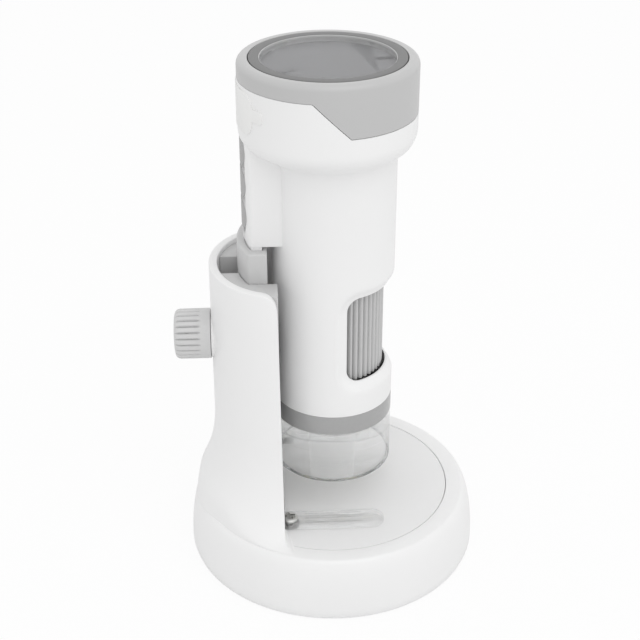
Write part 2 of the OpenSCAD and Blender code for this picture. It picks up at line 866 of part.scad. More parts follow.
module spine_cover() {
    color("white") {
        difference() {
            translate([0, 0, spine_bottom]) linear_extrude(shoulder_top - spine_bottom - seam)
                spine_outline(0, -spine_front);
            translate([0, 0, spine_bottom + spine_wall]) linear_extrude(shoulder_top)
                spine_outline(spine_wall, over - spine_front);
            for (k = [-1:1])
                along_x(carriage_back, -spine_front - spine_wall) translate([0, button_z + k * button_pitch])
                    stadium(button_w + 2 * button_fit, button_h + 2 * button_fit);
        }
        translate([0, 0, spine_bottom - tongue_l]) linear_extrude(tongue_l) tongue_outline(0);
    }
}

module head_ring() {
    color("silver") ring_body(0);
}

module bezel_ring() {
    color("dimgray") on_head() ring(bezel_r, window_r + seam, ledge_z, head_top);
}

module display_window() {
    color("darkgray") on_head()
        disc(window_r, head_top - window_sunk - window_t, head_top - window_sunk);
}

module lcd_panel() {
    color("gray") on_head() disc(window_r - seam, ledge_z, head_top - window_sunk - window_t);
}

module board_screw_places() {
    for (turn = board_screw_turns)
        rotate(turn) translate([board_screw_ring, 0, 0]) children();
}

module main_board() {
    color("seagreen") on_head() difference() {
        disc(main_board_r, main_board_z, main_board_z + board_t);
        board_screw_places() translate([0, 0, main_board_z - over])
            cylinder(h = board_t + 2 * over, r = screw_r, $fn = 24);
    }
}

module board_screws() {
    color("silver") on_head() board_screw_places() {
        translate([0, 0, main_board_z + board_t]) cylinder(h = screw_head_h, r = screw_head_r, $fn = 32);
        translate([0, 0, main_board_z - board_screw_l])
            cylinder(h = board_screw_l + board_t, r = screw_r, $fn = 24);
    }
}

module usb_socket() {
    color("silver") difference() {
        usb_space(0, 0);
        translate([0, usb_y, 0]) along_x(usb_x - over, usb_x + socket_depth_share * usb_l)
            translate([0, main_board_z + board_t + usb_h / 2])
                stadium(usb_mouth_shares[0] * usb_w, usb_mouth_shares[1] * usb_h);
    }
}

module card_socket() {
    color("silver") difference() {
        card_space(0, 0);
        translate([card_x - over, card_y, main_board_z - card_h / 2])
            rotate([90, 0, 90]) linear_extrude(over + socket_depth_share * card_l)
                square([card_mouth_shares[0] * card_w, card_mouth_shares[1] * card_h], center = true);
    }
}

module port_cover() {
    color("white") on_head() {
        ring_sector(head_r, head_r - port_t, port_z - port_h / 2 + seam, port_z + port_h / 2 - seam,
            180 - port_half, 180 + port_half - port_gap_turn);
        ring_sector(head_r, head_r - port_t, port_tab_z - port_tab_h / 2, port_tab_z + port_tab_h / 2,
            180 + port_half - port_tab_foot_turn, 180 + port_half + port_tab_turn);
    }
}

// One button cap with its inner lip, k steps above the middle one
module button(k) {
    color("darkgray") translate([0, 0, button_z + k * button_pitch]) {
        intersection() {
            along_x(carriage_back, -spine_front - spine_wall) stadium(button_w, button_h);
            on_head() ring(spine_r + button_proud, spine_r - spine_wall - clear - button_lip_t,
                -button_h, button_h);
        }
        intersection() {
            along_x(carriage_back, -spine_front - spine_wall)
                stadium(button_w + 2 * button_lip, button_h + 2 * button_lip);
            on_head() ring(spine_r - spine_wall - clear, spine_r - spine_wall - clear - button_lip_t,
                -button_h, button_h);
        }
    }
}

module button_top() {
    button(1);
}

module button_middle() {
    button(0);
}

module button_bottom() {
    button(-1);
}

module button_board() {
    color("seagreen") translate([switch_x + switch_l, -button_board_w / 2, spine_bottom + spine_wall])
        cube([button_board_t, button_board_w,
            shoulder_top - spine_bottom - spine_wall - button_board_gap]);
}

module button_switches() {
    color("black") for (k = [-1:1])
        translate([switch_x, -switch_w / 2, button_z + k * button_pitch - switch_w / 2])
            cube([switch_l, switch_w, switch_w]);
}

module battery() {
    color("lightsteelblue") translate([battery_x, -battery_w / 2, chassis_z + chassis_t])
        cube([battery_t, battery_w, battery_h]);
}

module chassis() {
    color("black") disc(barrel_in_r - seam, chassis_z, chassis_z + chassis_t);
}

module sensor_board() {
    color("seagreen") disc(sensor_r, chassis_z - board_t, chassis_z);
}

module focus_ring() {
    color("silver") translate([0, 0, wheel_z]) difference() {
        linear_extrude(wheel_top - wheel_z) polygon(wheel_outline());
        translate([0, 0, -over]) cylinder(h = wheel_top - wheel_z + 2 * over, r = wheel_in_r);
    }
}

module lens_cell() {
    color("black") difference() {
        disc(lens_cell_r, lens_cell_z, lens_cell_z + lens_cell_h);
        disc(lens_bore_r, lens_cell_z - over, lens_cell_z + lens_cell_h + over);
        disc(lens_r, lens_cell_z - over, lens_cell_z + lens_t);
    }
}

module objective_lens() {
    color("lightblue") disc(lens_r, lens_cell_z, lens_cell_z + lens_t);
}

module band_ring() {
    color("dimgray") rotate_extrude() {
        translate([band_in_r, band_z]) square([barrel_r - band_in_r, band_h]);
        translate([barrel_in_r - seam - spigot_t, band_floor_z])
            square([barrel_r - barrel_in_r + seam + spigot_t - run_fit, barrel_bottom - band_floor_z]);
        translate([barrel_in_r - seam - spigot_t, barrel_bottom])
            square([spigot_t, band_spigot_h]);
        translate([band_eye_r, band_floor_z]) square([barrel_in_r - band_eye_r, band_floor_t]);
    }
}

module led_board() {
    color("white") ring(led_board_r, band_eye_r - led_board_eye, band_floor_z - board_t, band_floor_z);
}

module led_lamps() {
    color("lightyellow") for (i = [0:led_count - 1])
        rotate(360 * i / led_count) translate([led_ring, 0, band_floor_z - board_t - led_h])
            cylinder(h = led_h, r = led_r, $fn = 32);
}

module clear_hood() {
    color("lightcyan", 0.5) rotate_extrude() {
        translate([hood_in_r, hood_z]) square([hood_wall, hood_h]);
        translate([hood_collar_in_r, band_z - hood_wall])
            square([hood_in_r - hood_collar_in_r + run_fit, hood_wall]);
        translate([hood_collar_in_r, band_z - hood_wall])
            square([band_in_r - seam - hood_collar_in_r, hood_wall + hood_spigot_h]);
    }
}

stand_shell();
stage_plate();
bottom_cover();
non_slip_pad();
base_screws();
clip_screws();
stage_clip_near();
stage_clip_far();
guide_block();
guide_screws();
knob_bush();
knob();
knob_shaft();
pinion();
carriage();
barrel_shell();
spine_cover();
head_ring();
bezel_ring();
display_window();
lcd_panel();
main_board();
board_screws();
usb_socket();
card_socket();
port_cover();
button_top();
button_middle();
button_bottom();
button_board();
button_switches();
battery();
chassis();
sensor_board();
focus_ring();
lens_cell();
objective_lens();
band_ring();
led_board();
led_lamps();
clear_hood();
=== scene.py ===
import math

import bmesh
import bpy
from mathutils import Matrix, Vector


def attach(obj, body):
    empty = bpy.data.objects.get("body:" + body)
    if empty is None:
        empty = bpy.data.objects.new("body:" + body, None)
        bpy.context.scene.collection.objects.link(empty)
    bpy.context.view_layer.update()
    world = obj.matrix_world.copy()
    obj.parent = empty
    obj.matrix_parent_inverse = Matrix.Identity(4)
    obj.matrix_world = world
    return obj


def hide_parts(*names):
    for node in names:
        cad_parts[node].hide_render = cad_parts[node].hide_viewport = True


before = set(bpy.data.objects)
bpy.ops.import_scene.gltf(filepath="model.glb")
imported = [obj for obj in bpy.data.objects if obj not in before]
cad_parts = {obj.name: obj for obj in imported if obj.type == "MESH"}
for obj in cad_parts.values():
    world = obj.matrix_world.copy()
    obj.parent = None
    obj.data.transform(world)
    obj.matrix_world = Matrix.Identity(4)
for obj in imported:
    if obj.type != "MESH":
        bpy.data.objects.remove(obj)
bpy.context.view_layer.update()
scene = bpy.context.scene
mm = 0.001  # pieces are modelled in millimetres and scaled to metres when they are finished


# ---- small helpers

def linearColour(code):
    channels = [int(code[i:i + 2], 16) / 255 for i in (1, 3, 5)]
    return tuple(c / 12.92 if c <= 0.04045 else ((c + 0.055) / 1.055) ** 2.4 for c in channels) + (1.0,)


def addNode(tree, kind, settings=None, values=None, links=None):
    node = tree.nodes.new(kind)
    for name, value in (settings or {}).items():
        setattr(node, name, value)
    for name, value in (values or {}).items():
        node.inputs[name].default_value = value
    for name, source in (links or {}).items():
        tree.links.new(source, node.inputs[name])
    return node


def softStep(value):
    value = min(1.0, max(0.0, value))
    return value * value * (3 - 2 * value)


def roundCorners(bm, verts, corners, segments=6):
    # corners are (a, b) or (a, b, radius); the ones with a radius are rounded
    groups = {}
    for vert, corner in zip(verts, corners):
        if len(corner) > 2:
            groups.setdefault(corner[2], []).append(vert)
    for radius, group in groups.items():
        bmesh.ops.bevel(bm, geom=group, offset=radius, offset_type="OFFSET", affect="VERTICES",
                        segments=segments, profile=0.5, material=-1)


def turned(corners, steps=128, centre=0.0):
    # spins a (radius, height) profile round Z; one that starts and ends on the axis stays open there
    bm = bmesh.new()
    verts = [bm.verts.new((corner[0], 0, corner[1])) for corner in corners]
    onAxis = corners[0][0] == 0 and corners[-1][0] == 0
    followers = verts[1:] if onAxis else verts[1:] + verts[:1]
    for a, b in zip(verts, followers):
        bm.edges.new((a, b))
    roundCorners(bm, verts, corners)
    bmesh.ops.spin(bm, geom=bm.verts[:] + bm.edges[:], cent=(0, 0, 0), axis=(0, 0, 1),
                   angle=math.tau, steps=steps, use_merge=True)
    bmesh.ops.remove_doubles(bm, verts=bm.verts[:], dist=0.0005)
    bmesh.ops.recalc_face_normals(bm, faces=bm.faces[:])
    bmesh.ops.translate(bm, verts=bm.verts[:], vec=(centre, 0, 0))
    return bm


def flatFace(corners, segments=6):
    # one face in the X-Z plane, its corners rounded where a radius is given
    bm = bmesh.new()
    verts = [bm.verts.new((corner[0], 0, corner[1])) for corner in corners]
    bm.faces.new(verts)
    roundCorners(bm, verts, corners, segments)
    return bm


def sliceUp(bm, places, normal):
    for place in places:
        bmesh.ops.bisect_plane(bm, geom=bm.verts[:] + bm.edges[:] + bm.faces[:], dist=0.0001,
                               plane_co=Vector(normal) * place, plane_no=normal)


def thicken(bm, vector):
    # extrudes every face by a vector into a closed solid
    result = bmesh.ops.extrude_face_region(bm, geom=bm.faces[:])
    moved = [item for item in result["geom"] if isinstance(item, bmesh.types.BMVert)]
    bmesh.ops.translate(bm, verts=moved, vec=vector)
    bmesh.ops.recalc_face_normals(bm, faces=bm.faces[:])
    return bm


def softEdges(bm, width, segments=3, angle=50, keep=None):
    # rounds the edges sharper than an angle; keep picks which of them
    edges = [edge for edge in bm.edges if len(edge.link_faces) == 2
             and edge.calc_face_angle(0) > math.radians(angle) and (keep is None or keep(edge))]
    bmesh.ops.bevel(bm, geom=edges, offset=width, offset_type="OFFSET", affect="EDGES",
                    segments=segments, profile=0.5, material=-1, clamp_overlap=True)
    return bm


def cutDisc(radius, centre, low, high, halfWidth=None, back=None, front=None, segments=160):
    # a disc about (centre, 0), trimmed to a strip and extruded from one height to another
    bm = bmesh.new()
    bmesh.ops.create_circle(bm, cap_ends=True, radius=radius, segments=segments,
                            matrix=Matrix.Translation((centre, 0, low)))
    planes = []
    if halfWidth is not None:
        planes += [((0, halfWidth, 0), (0, 1, 0)), ((0, -halfWidth, 0), (0, -1, 0))]
    if front is not None:
        planes.append(((front, 0, 0), (1, 0, 0)))
    if back is not None:
        planes.append(((back, 0, 0), (-1, 0, 0)))
    for place, normal in planes:
        bmesh.ops.bisect_plane(bm, geom=bm.verts[:] + bm.edges[:] + bm.faces[:], dist=0.0001,
                               plane_co=place, plane_no=normal, clear_outer=True)
    return thicken(bm, (0, 0, high - low))


def block(low, high):
    bm = bmesh.new()
    size = [b - a for a, b in zip(low, high)]
    middle = [(a + b) / 2 for a, b in zip(low, high)]
    bmesh.ops.create_cube(bm, size=1, matrix=Matrix.Translation(middle) @ Matrix.Diagonal((*size, 1)))
    return bm


def join(*meshes):
    # puts several closed shells into one bmesh
    whole = bmesh.new()
    for bm in meshes:
        part = bpy.data.meshes.new("part")
        bm.to_mesh(part)
        bm.free()
        whole.from_mesh(part)
        bpy.data.meshes.remove(part)
    return whole


def makeObject(name, bm):
    mesh = bpy.data.meshes.new(name)
    bm.to_mesh(mesh)
    bm.free()
    piece = bpy.data.objects.new(name, mesh)
    scene.collection.objects.link(piece)
    return piece


def takeMesh(piece):
    # the piece's mesh as a bmesh again; the piece itself goes
    bm = bmesh.new()
    bm.from_mesh(piece.data)
    bpy.data.objects.remove(piece)
    return bm


def applyModifiers(piece):
    evaluated = piece.evaluated_get(bpy.context.evaluated_depsgraph_get())
    old = piece.data
    mesh = bpy.data.meshes.new_from_object(evaluated)
    piece.modifiers.clear()
    piece.data = mesh
    bpy.data.meshes.remove(old)


def carve(piece, *cutters):
    for cutter in cutters:
        tool = makeObject("cutter", cutter)
        modifier = piece.modifiers.new("cut", "BOOLEAN")
        modifier.object = tool
        modifier.operation = "DIFFERENCE"
        modifier.solver = "EXACT"
        applyModifiers(piece)
        bpy.data.objects.remove(tool)
    return piece


def bevelPiece(piece, width, segments=2, angle=35):
    modifier = piece.modifiers.new("soft", "BEVEL")
    modifier.width = width
    modifier.segments = segments
    modifier.limit_method = "ANGLE"
    modifier.angle_limit = math.radians(angle)
    applyModifiers(piece)


def finishPiece(piece, body, material, nodes=(), smooth=35):
    # to metres, smooth shading with sharp edges kept, then its finish and the body it rides on
    piece.data.transform(Matrix.Scale(mm, 4))
    piece.data.polygons.foreach_set("use_smooth", [True] * len(piece.data.polygons))
    piece.data.set_sharp_from_angle(angle=math.radians(smooth))
    piece.data.materials.clear()
    piece.data.materials.append(material)
    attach(piece, body)
    if nodes:
        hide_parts(*nodes)
    return piece


# ---- materials

def newMaterial(name):
    material = bpy.data.materials.new(name)
    material.use_nodes = True
    tree = material.node_tree
    tree.nodes.clear()
    place = addNode(tree, "ShaderNodeTexCoord").outputs["Object"]
    return material, tree, place


def finishMaterial(tree, shader):
    addNode(tree, "ShaderNodeOutputMaterial", links={"Surface": shader.outputs[0]})


def mouldedPlastic(name, colour, roughness, grain=0.9, bump=0.02, mottle=0.03, coat=0.0, ior=1.5):
    # a moulded plastic: its spark-eroded grain (drawn coarser than the real 0.05 mm, so that it shows),
    # a faint unevenness of tone a few centimetres across, and roughness that varies with the grain
    material, tree, place = newMaterial(name)
    tone = addNode(tree, "ShaderNodeTexNoise", values={"Scale": 1 / (28 * mm), "Detail": 3.0}, links={"Vector": place})
    base = linearColour(colour)
    darker = tuple(c * (1 - mottle) for c in base[:3]) + (1.0,)
    shade = addNode(tree, "ShaderNodeMix", settings={"data_type": "RGBA"}, links={0: tone.outputs["Fac"]})
    shade.inputs[6].default_value = base
    shade.inputs[7].default_value = darker
    fine = addNode(tree, "ShaderNodeTexNoise", values={"Scale": 1 / (grain * mm), "Detail": 2.0}, links={"Vector": place})
    dull = addNode(tree, "ShaderNodeMapRange", values={"To Min": roughness - 0.04, "To Max": roughness + 0.04},
                   links={"Value": fine.outputs["Fac"]})
    relief = addNode(tree, "ShaderNodeBump", values={"Strength": bump, "Distance": 0.1 * mm},
                     links={"Height": fine.outputs["Fac"]})
    shader = addNode(tree, "ShaderNodeBsdfPrincipled", values={"IOR": ior, "Coat Weight": coat, "Coat Roughness": 0.15},
                     links={"Base Color": shade.outputs[2], "Roughness": dull.outputs[0],
                            "Normal": relief.outputs[0]})
    finishMaterial(tree, shader)
    return material


def clearPlastic(name, tint, roughness, ior, body):
    # a thin clear moulding: light and sight mostly pass straight through, body is the share that
    # bends and mirrors them, with faint flow marks in its gloss
    material, tree, place = newMaterial(name)
    flow = addNode(tree, "ShaderNodeTexNoise", values={"Scale": 1 / (9 * mm), "Detail": 2.0}, links={"Vector": place})
    dull = addNode(tree, "ShaderNodeMapRange", values={"To Min": roughness, "To Max": roughness + 0.03},
                   links={"Value": flow.outputs["Fac"]})
    shader = addNode(tree, "ShaderNodeBsdfPrincipled",
                     values={"Base Color": linearColour(tint), "Transmission Weight": 1.0, "IOR": ior, "Alpha": body},
                     links={"Roughness": dull.outputs[0]})
    finishMaterial(tree, shader)
    return material


def platedMetal(name, colour, roughness, scratch=0.15):
    # a metal with fine turning marks
    material, tree, place = newMaterial(name)
    marks = addNode(tree, "ShaderNodeTexNoise", values={"Scale": 1 / (0.5 * mm), "Detail": 4.0}, links={"Vector": place})
    dull = addNode(tree, "ShaderNodeMapRange", values={"To Min": roughness, "To Max": roughness + scratch},
                   links={"Value": marks.outputs["Fac"]})
    relief = addNode(tree, "ShaderNodeBump", values={"Strength": 0.05, "Distance": 0.05 * mm},
                     links={"Height": marks.outputs["Fac"]})
    shader = addNode(tree, "ShaderNodeBsdfPrincipled", values={"Base Color": linearColour(colour), "Metallic": 1.0},
                     links={"Roughness": dull.outputs[0], "Normal": relief.outputs[0]})
    finishMaterial(tree, shader)
    return material


def circuitBoard(name, mask, copper):
    # solder mask over copper: tracks show as a lighter green under the gloss
    material, tree, place = newMaterial(name)
    tracks = addNode(tree, "ShaderNodeTexBrick", settings={"offset": 0.3},
                     values={"Scale": 1 / (6 * mm), "Mortar Size": 0.02, "Color1": linearColour(mask),
                             "Color2": linearColour(mask), "Mortar": linearColour(copper)}, links={"Vector": place})
    shader = addNode(tree, "ShaderNodeBsdfPrincipled", values={"Roughness": 0.3, "Coat Weight": 0.3},
                     links={"Base Color": tracks.outputs["Color"]})
    finishMaterial(tree, shader)
    return material


satinWhite = mouldedPlastic("white_abs", "#F0F0F0", 0.36)  # ABS: a clean satin white with soft highlights
stageWhite = mouldedPlastic("stage_white_abs", "#E9E9E9", 0.5)  # the same ABS with a duller, finer skin
pearlGrey = mouldedPlastic("pearl_grey_abs", "#BFBFBF", 0.34)  # painted ABS of the head ring: a smooth light grey
guideGrey = mouldedPlastic("guide_grey_abs", "#C9C9C9", 0.42)  # satin grey of the guide and the carriage
knobGrey = mouldedPlastic("knob_grey_abs", "#D0D0D0", 0.4)
bezelGrey = mouldedPlastic("bezel_grey_abs", "#6C6C6C", 0.38)  # dark grey of the bezel, nearly without gloss
bandGrey = mouldedPlastic("band_grey_abs", "#A4A4A4", 0.28, grain=0.3, bump=0.004, mottle=0.01, coat=0.2)  # lacquered band, a little glossier
wheelGrey = mouldedPlastic("wheel_grey_abs", "#C4C4C4", 0.4)
blackPlastic = mouldedPlastic("black_abs", "#1B1B1C", 0.45, mottle=0.15)
capWhite = mouldedPlastic("white_silicone", "#EFEFEE", 0.55, bump=0.03)  # silicone: dull, slightly soft looking
buttonGrey = mouldedPlastic("grey_silicone", "#ACACAC", 0.55, bump=0.03)
padRubber = mouldedPlastic("pad_rubber", "#3A3A3B", 0.75, bump=0.1, mottle=0.2)
coverGrey = mouldedPlastic("cover_grey_abs", "#CFCFCF", 0.5)
lampPlastic = mouldedPlastic("lamp_phosphor", "#EADFA8", 0.35, grain=0.4, coat=0.6)
batteryWrap = mouldedPlastic("battery_wrap", "#7F93A8", 0.3, mottle=0.1)
displayGrey = mouldedPlastic("display_off", "#A4A4A6", 0.4, bump=0.0, mottle=0.02)
clearAcrylic = clearPlastic("clear_acrylic", "#F4F6F6", 0.01, 1.49, 0.3)
clipClear = clearPlastic("clear_polycarbonate", "#F6F7F7", 0.02, 1.5, 0.24)
edgeAcrylicPaintedShade = clearPlastic("acrylic_edge_painted_shade", "#8E9090", 0.1, 1.49, 0.85)  # painted shade: the dark look of the acrylic's cut edge, seen along the wall, is painted as a grey tint in its colour
windowGlass = clearPlastic("window_glass", "#F2F4F4", 0.01, 1.5, 0.2)
lensGlass = clearPlastic("lens_glass", "#E8F0F4", 0.0, 1.52, 0.8)
screwSteel = platedMetal("nickel_plated_steel", "#C2C2C0", 0.22)
shaftSteel = platedMetal("ground_steel", "#B8B8B8", 0.2)
turnedBrass = platedMetal("turned_brass", "#C9A86A", 0.25)
boardGreen = circuitBoard("green_board", "#1F5A38", "#3C8557")
boardWhite = circuitBoard("white_board", "#E4E4E0", "#D2D2CC")
print("materials done")


# ---- stand: round base and the column that grows out of it

stand = {"footRadius": 55, "topRadius": 50, "height": 24, "edge": 2, "sidePower": 1.9, "rise": 0.4,
         "seatRadius": 44.5, "seatDrop": 3, "deck": 18, "cavityRadius": 47, "coverRadius": 52, "coverTop": 3.2,
         "front": -19.6, "depth": 24.7, "halfWidth": 28.5, "wall": 3, "top": 120.1, "corner": 7, "rim": 0.9,
         "flareTop": 60, "flareOut": 18.5, "footRadiusLimit": 52.3, "footAside": 1.8, "footLean": 0.175, "footBlend": 1.6,
         "frontLean": 1.1, "bossRadius": 8.9, "bossFrom": -42.5, "bossTo": -44.45, "bossHeight": 90.8,
         "clipX": -17.5, "clipY": 28, "clipRoom": 5.3, "clipRoomTop": 28.6}


def sideProfile(steps=14):
    points = []
    for i in range(steps + 1):
        turn = math.pi / 2 * i / steps
        points.append((stand["topRadius"] + (stand["footRadius"] - stand["topRadius"]) * math.cos(turn) ** (2 / stand["sidePower"]),
                       stand["edge"] + (stand["height"] - stand["edge"]) * math.sin(turn) ** (2 / stand["sidePower"])))
    return points


def flareAt(height):
    share = min(1.0, max(0.0, stand["flareTop"] - height) / (stand["flareTop"] - stand["height"]))
    return stand["flareOut"] * (1 - math.sqrt(1 - share * share))


def keepInFoot(x, y, height):
    # keeps the flare inside a cone that goes on from the base's side, with a soft change between them
    if height > stand["flareTop"]:
        return x, y
    aside = math.degrees(math.atan2(abs(y), -x))
    limit = stand["footRadiusLimit"] - stand["footAside"] * softStep((aside - 10) / 24)
    limit -= stand["footLean"] * max(0, height - stand["height"])
    reach = math.hypot(x, y)
    blend = max(0.0, 1 - abs(reach - limit) / stand["footBlend"])
    wanted = min(reach, limit) - blend * blend * stand["footBlend"] / 4
    return x * wanted / reach, y * wanted / reach


def columnPoint(turn, depth, height):
    # turn runs from -90 to 90 degrees round the back, depth from the outer skin inwards
    cosTurn, sinTurn = math.cos(turn), math.sin(turn)
    normal = Vector((-cosTurn / stand["depth"], sinTurn / stand["halfWidth"])).normalized()
    atFront = (1 - cosTurn) ** 6
    lean = -stand["frontLean"] * max(0.0, height - 35) / 76 * atFront
    if depth < stand["wall"] / 2:
        out = flareAt(height)
        x = stand["front"] - (stand["depth"] + out) * cosTurn - normal.x * depth
        y = (stand["halfWidth"] + out) * sinTurn - normal.y * depth
        x, y = keepInFoot(x, y, height)
        x += 3.9 * max(0.0, (out - 12.8) / 5.7) ** 1.3 * atFront  # the foot sweeps forward over the base
    else:
        inner = stand["wall"] - depth
        x = stand["front"] - (stand["depth"] - stand["wall"]) * cosTurn + normal.x * inner
        y = (stand["halfWidth"] - stand["wall"]) * sinTurn + normal.y * inner
    return Vector((x + lean, y, height))


def columnWall():
    degree = stand["depth"] * math.pi / 180  # millimetres of the flat plate for one degree of turn
    half = 90 * degree
    bm = flatFace([(-half, stand["deck"]), (half, stand["deck"]), (half, stand["top"], stand["corner"]),
                   (-half, stand["top"], stand["corner"])], segments=12)
    sliceUp(bm, [half * (i / 30 - 1) for i in range(1, 60)], (1, 0, 0))
    span = stand["flareTop"] - stand["height"]
    heights = [stand["flareTop"] - span * math.cos(math.pi / 2 * i / 18) for i in range(19)]
    sliceUp(bm, heights + [21, 75, 90, 105], (0, 0, 1))
    thicken(bm, (0, stand["wall"], 0))
    softEdges(bm, stand["rim"], 3, 60, lambda edge: min(v.co.z for v in edge.verts) > stand["deck"] + 0.5)
    for vert in bm.verts:
        vert.co = columnPoint(math.radians(vert.co.x / degree), vert.co.y, vert.co.z)
    bmesh.ops.recalc_face_normals(bm, faces=bm.faces[:])
    return bm


base = turned([(0, stand["deck"]), (stand["cavityRadius"], stand["deck"]), (stand["cavityRadius"], stand["coverTop"]),
               (stand["coverRadius"], stand["coverTop"]), (stand["coverRadius"], stand["rise"]),
               (stand["footRadius"] - 0.6, stand["rise"])] + sideProfile()
              + [(stand["seatRadius"], stand["height"], 0.3),
                 (stand["seatRadius"], stand["height"] - stand["seatDrop"]),
                 (0, stand["height"] - stand["seatDrop"])], 192)
rearDeck = cutDisc(stand["seatRadius"] + 0.1, 0, stand["height"] - stand["seatDrop"] - 0.1, stand["height"], front=-19.3)
column = makeObject("column", columnWall())
for side in (-1, 1):
    room = turned([(0, stand["height"]), (stand["clipRoom"], stand["height"]),
                   (stand["clipRoom"], stand["clipRoomTop"]), (0, stand["clipRoomTop"])], 48)
    bmesh.ops.translate(room, verts=room.verts[:], vec=(stand["clipX"], side * stand["clipY"], 0.01))
    carve(column, room)
boss = turned([(6, 0), (stand["bossRadius"], 0), (stand["bossRadius"], stand["bossFrom"] - stand["bossTo"], 0.3),
               (6, stand["bossFrom"] - stand["bossTo"])], 96)
bmesh.ops.rotate(boss, verts=boss.verts[:], cent=(0, 0, 0), matrix=Matrix.Rotation(-math.pi / 2, 3, "Y"))
bmesh.ops.translate(boss, verts=boss.verts[:], vec=(stand["bossFrom"], 0, stand["bossHeight"]))
standShell = makeObject("standShell", join(base, takeMesh(column), rearDeck, boss))
finishPiece(standShell, "stand", satinWhite, ["stand_shell"])

stage = {"radius": 44.35, "front": -19.15, "low": 21, "high": 24, "edge": 0.5}
plate = cutDisc(stage["radius"], 0, stage["low"], stage["high"], back=stage["front"], segments=192)
softEdges(plate, stage["edge"], 2, 60, lambda edge: min(v.co.z for v in edge.verts) > 22)
finishPiece(makeObject("stagePlate", plate), "stand", stageWhite, ["stage_plate"])
print("stand done")


# ---- guide block, carriage and rack

guide = {"front": -20.4, "top": 118.4, "low": 24, "depth": 21.55, "halfWidth": 25.35, "bayRadius": 32.4,
         "bayHalf": 15.5, "bayLow": 86, "recess": -24, "channelFront": -29.3, "channelLow": 28,
         "slotBack": -44.3, "slotFront": -33.1, "slotHalf": 6.5, "slotLow": 61.4, "soft": 0.35}
outline = bmesh.new()
bmesh.ops.create_circle(outline, cap_ends=True, radius=1, segments=160)
bmesh.ops.scale(outline, verts=outline.verts[:], vec=(guide["depth"], guide["halfWidth"], 1))
bmesh.ops.translate(outline, verts=outline.verts[:], vec=(stand["front"], 0, guide["low"]))
bmesh.ops.bisect_plane(outline, geom=outline.verts[:] + outline.edges[:] + outline.faces[:], dist=0.0001,
                       plane_co=(guide["front"], 0, 0), plane_no=(1, 0, 0), clear_outer=True)
guideBlock = makeObject("guideBlock", thicken(outline, (0, 0, guide["top"] - guide["low"])))
carve(guideBlock,
      cutDisc(guide["bayRadius"], -2, guide["bayLow"], 140, guide["bayHalf"], front=-15),
      block((guide["recess"], -guide["bayHalf"], 20), (-15, guide["bayHalf"], 140)),
      cutDisc(guide["bayRadius"], -2, guide["channelLow"], 140, guide["bayHalf"], front=guide["channelFront"]),
      block((guide["slotBack"], -guide["slotHalf"], guide["slotLow"]), (guide["slotFront"], guide["slotHalf"], 140)))
for side in (-1, 1):
    room = turned([(0, 23), (stand["clipRoom"], 23), (stand["clipRoom"], stand["clipRoomTop"]),
                   (0, stand["clipRoomTop"])], 48)
    bmesh.ops.translate(room, verts=room.verts[:], vec=(stand["clipX"], side * stand["clipY"], 0))
    carve(guideBlock, room)
bevelPiece(guideBlock, guide["soft"])
finishPiece(guideBlock, "stand", guideGrey, ["guide_block"])

carriage = {"radius": 32.1, "half": 15.2, "front": -23.7, "low": 100, "top": 129.6, "slideFront": -29.6,
            "slideLow": 40, "soft": 0.9, "toothX": (-40.1, -32.6), "pitch": 0.75 * math.pi, "knobZ": 90.8,
            "rootY": 5.475, "tipY": 3.94, "backY": 6.2, "rootHalf": 0.884, "tipHalf": 0.324}
cradle = cutDisc(carriage["radius"], -2, carriage["low"], carriage["top"], carriage["half"], front=carriage["front"])
softEdges(cradle, carriage["soft"], 3, 45)
slide = cutDisc(carriage["radius"], -2, carriage["slideLow"], carriage["low"] + 2, carriage["half"],
                front=carriage["slideFront"])
softEdges(slide, 0.3, 2, 45)
rackLow = carriage["knobZ"] - 6.5 * carriage["pitch"]
rackHigh = carriage["knobZ"] + 6.5 * carriage["pitch"]
rack = block((carriage["toothX"][0], carriage["rootY"], rackLow), (carriage["toothX"][1], carriage["backY"], rackHigh))
teeth = []
for k in range(12):
    height = carriage["knobZ"] + (k - 5.5) * carriage["pitch"]
    tooth = block((carriage["toothX"][0], carriage["tipY"], height - carriage["rootHalf"]),
                  (carriage["toothX"][1], carriage["rootY"] + 0.1, height + carriage["rootHalf"]))
    for vert in tooth.verts:
        if vert.co.y < carriage["tipY"] + 0.01:
            vert.co.z = height + (vert.co.z - height) * carriage["tipHalf"] / carriage["rootHalf"]
    teeth.append(tooth)
carriagePiece = makeObject("carriage", cradle)
carve(carriagePiece, cutDisc(29.5, -2, 116.5, 140, 11.9, front=-24.9))
carriagePiece = makeObject("carriage", join(takeMesh(carriagePiece), slide, rack, *teeth))
finishPiece(carriagePiece, "carriage", guideGrey, ["carriage"])
print("guide and carriage done")


# ---- knob: a collar, then narrow flutes up to a rounded end

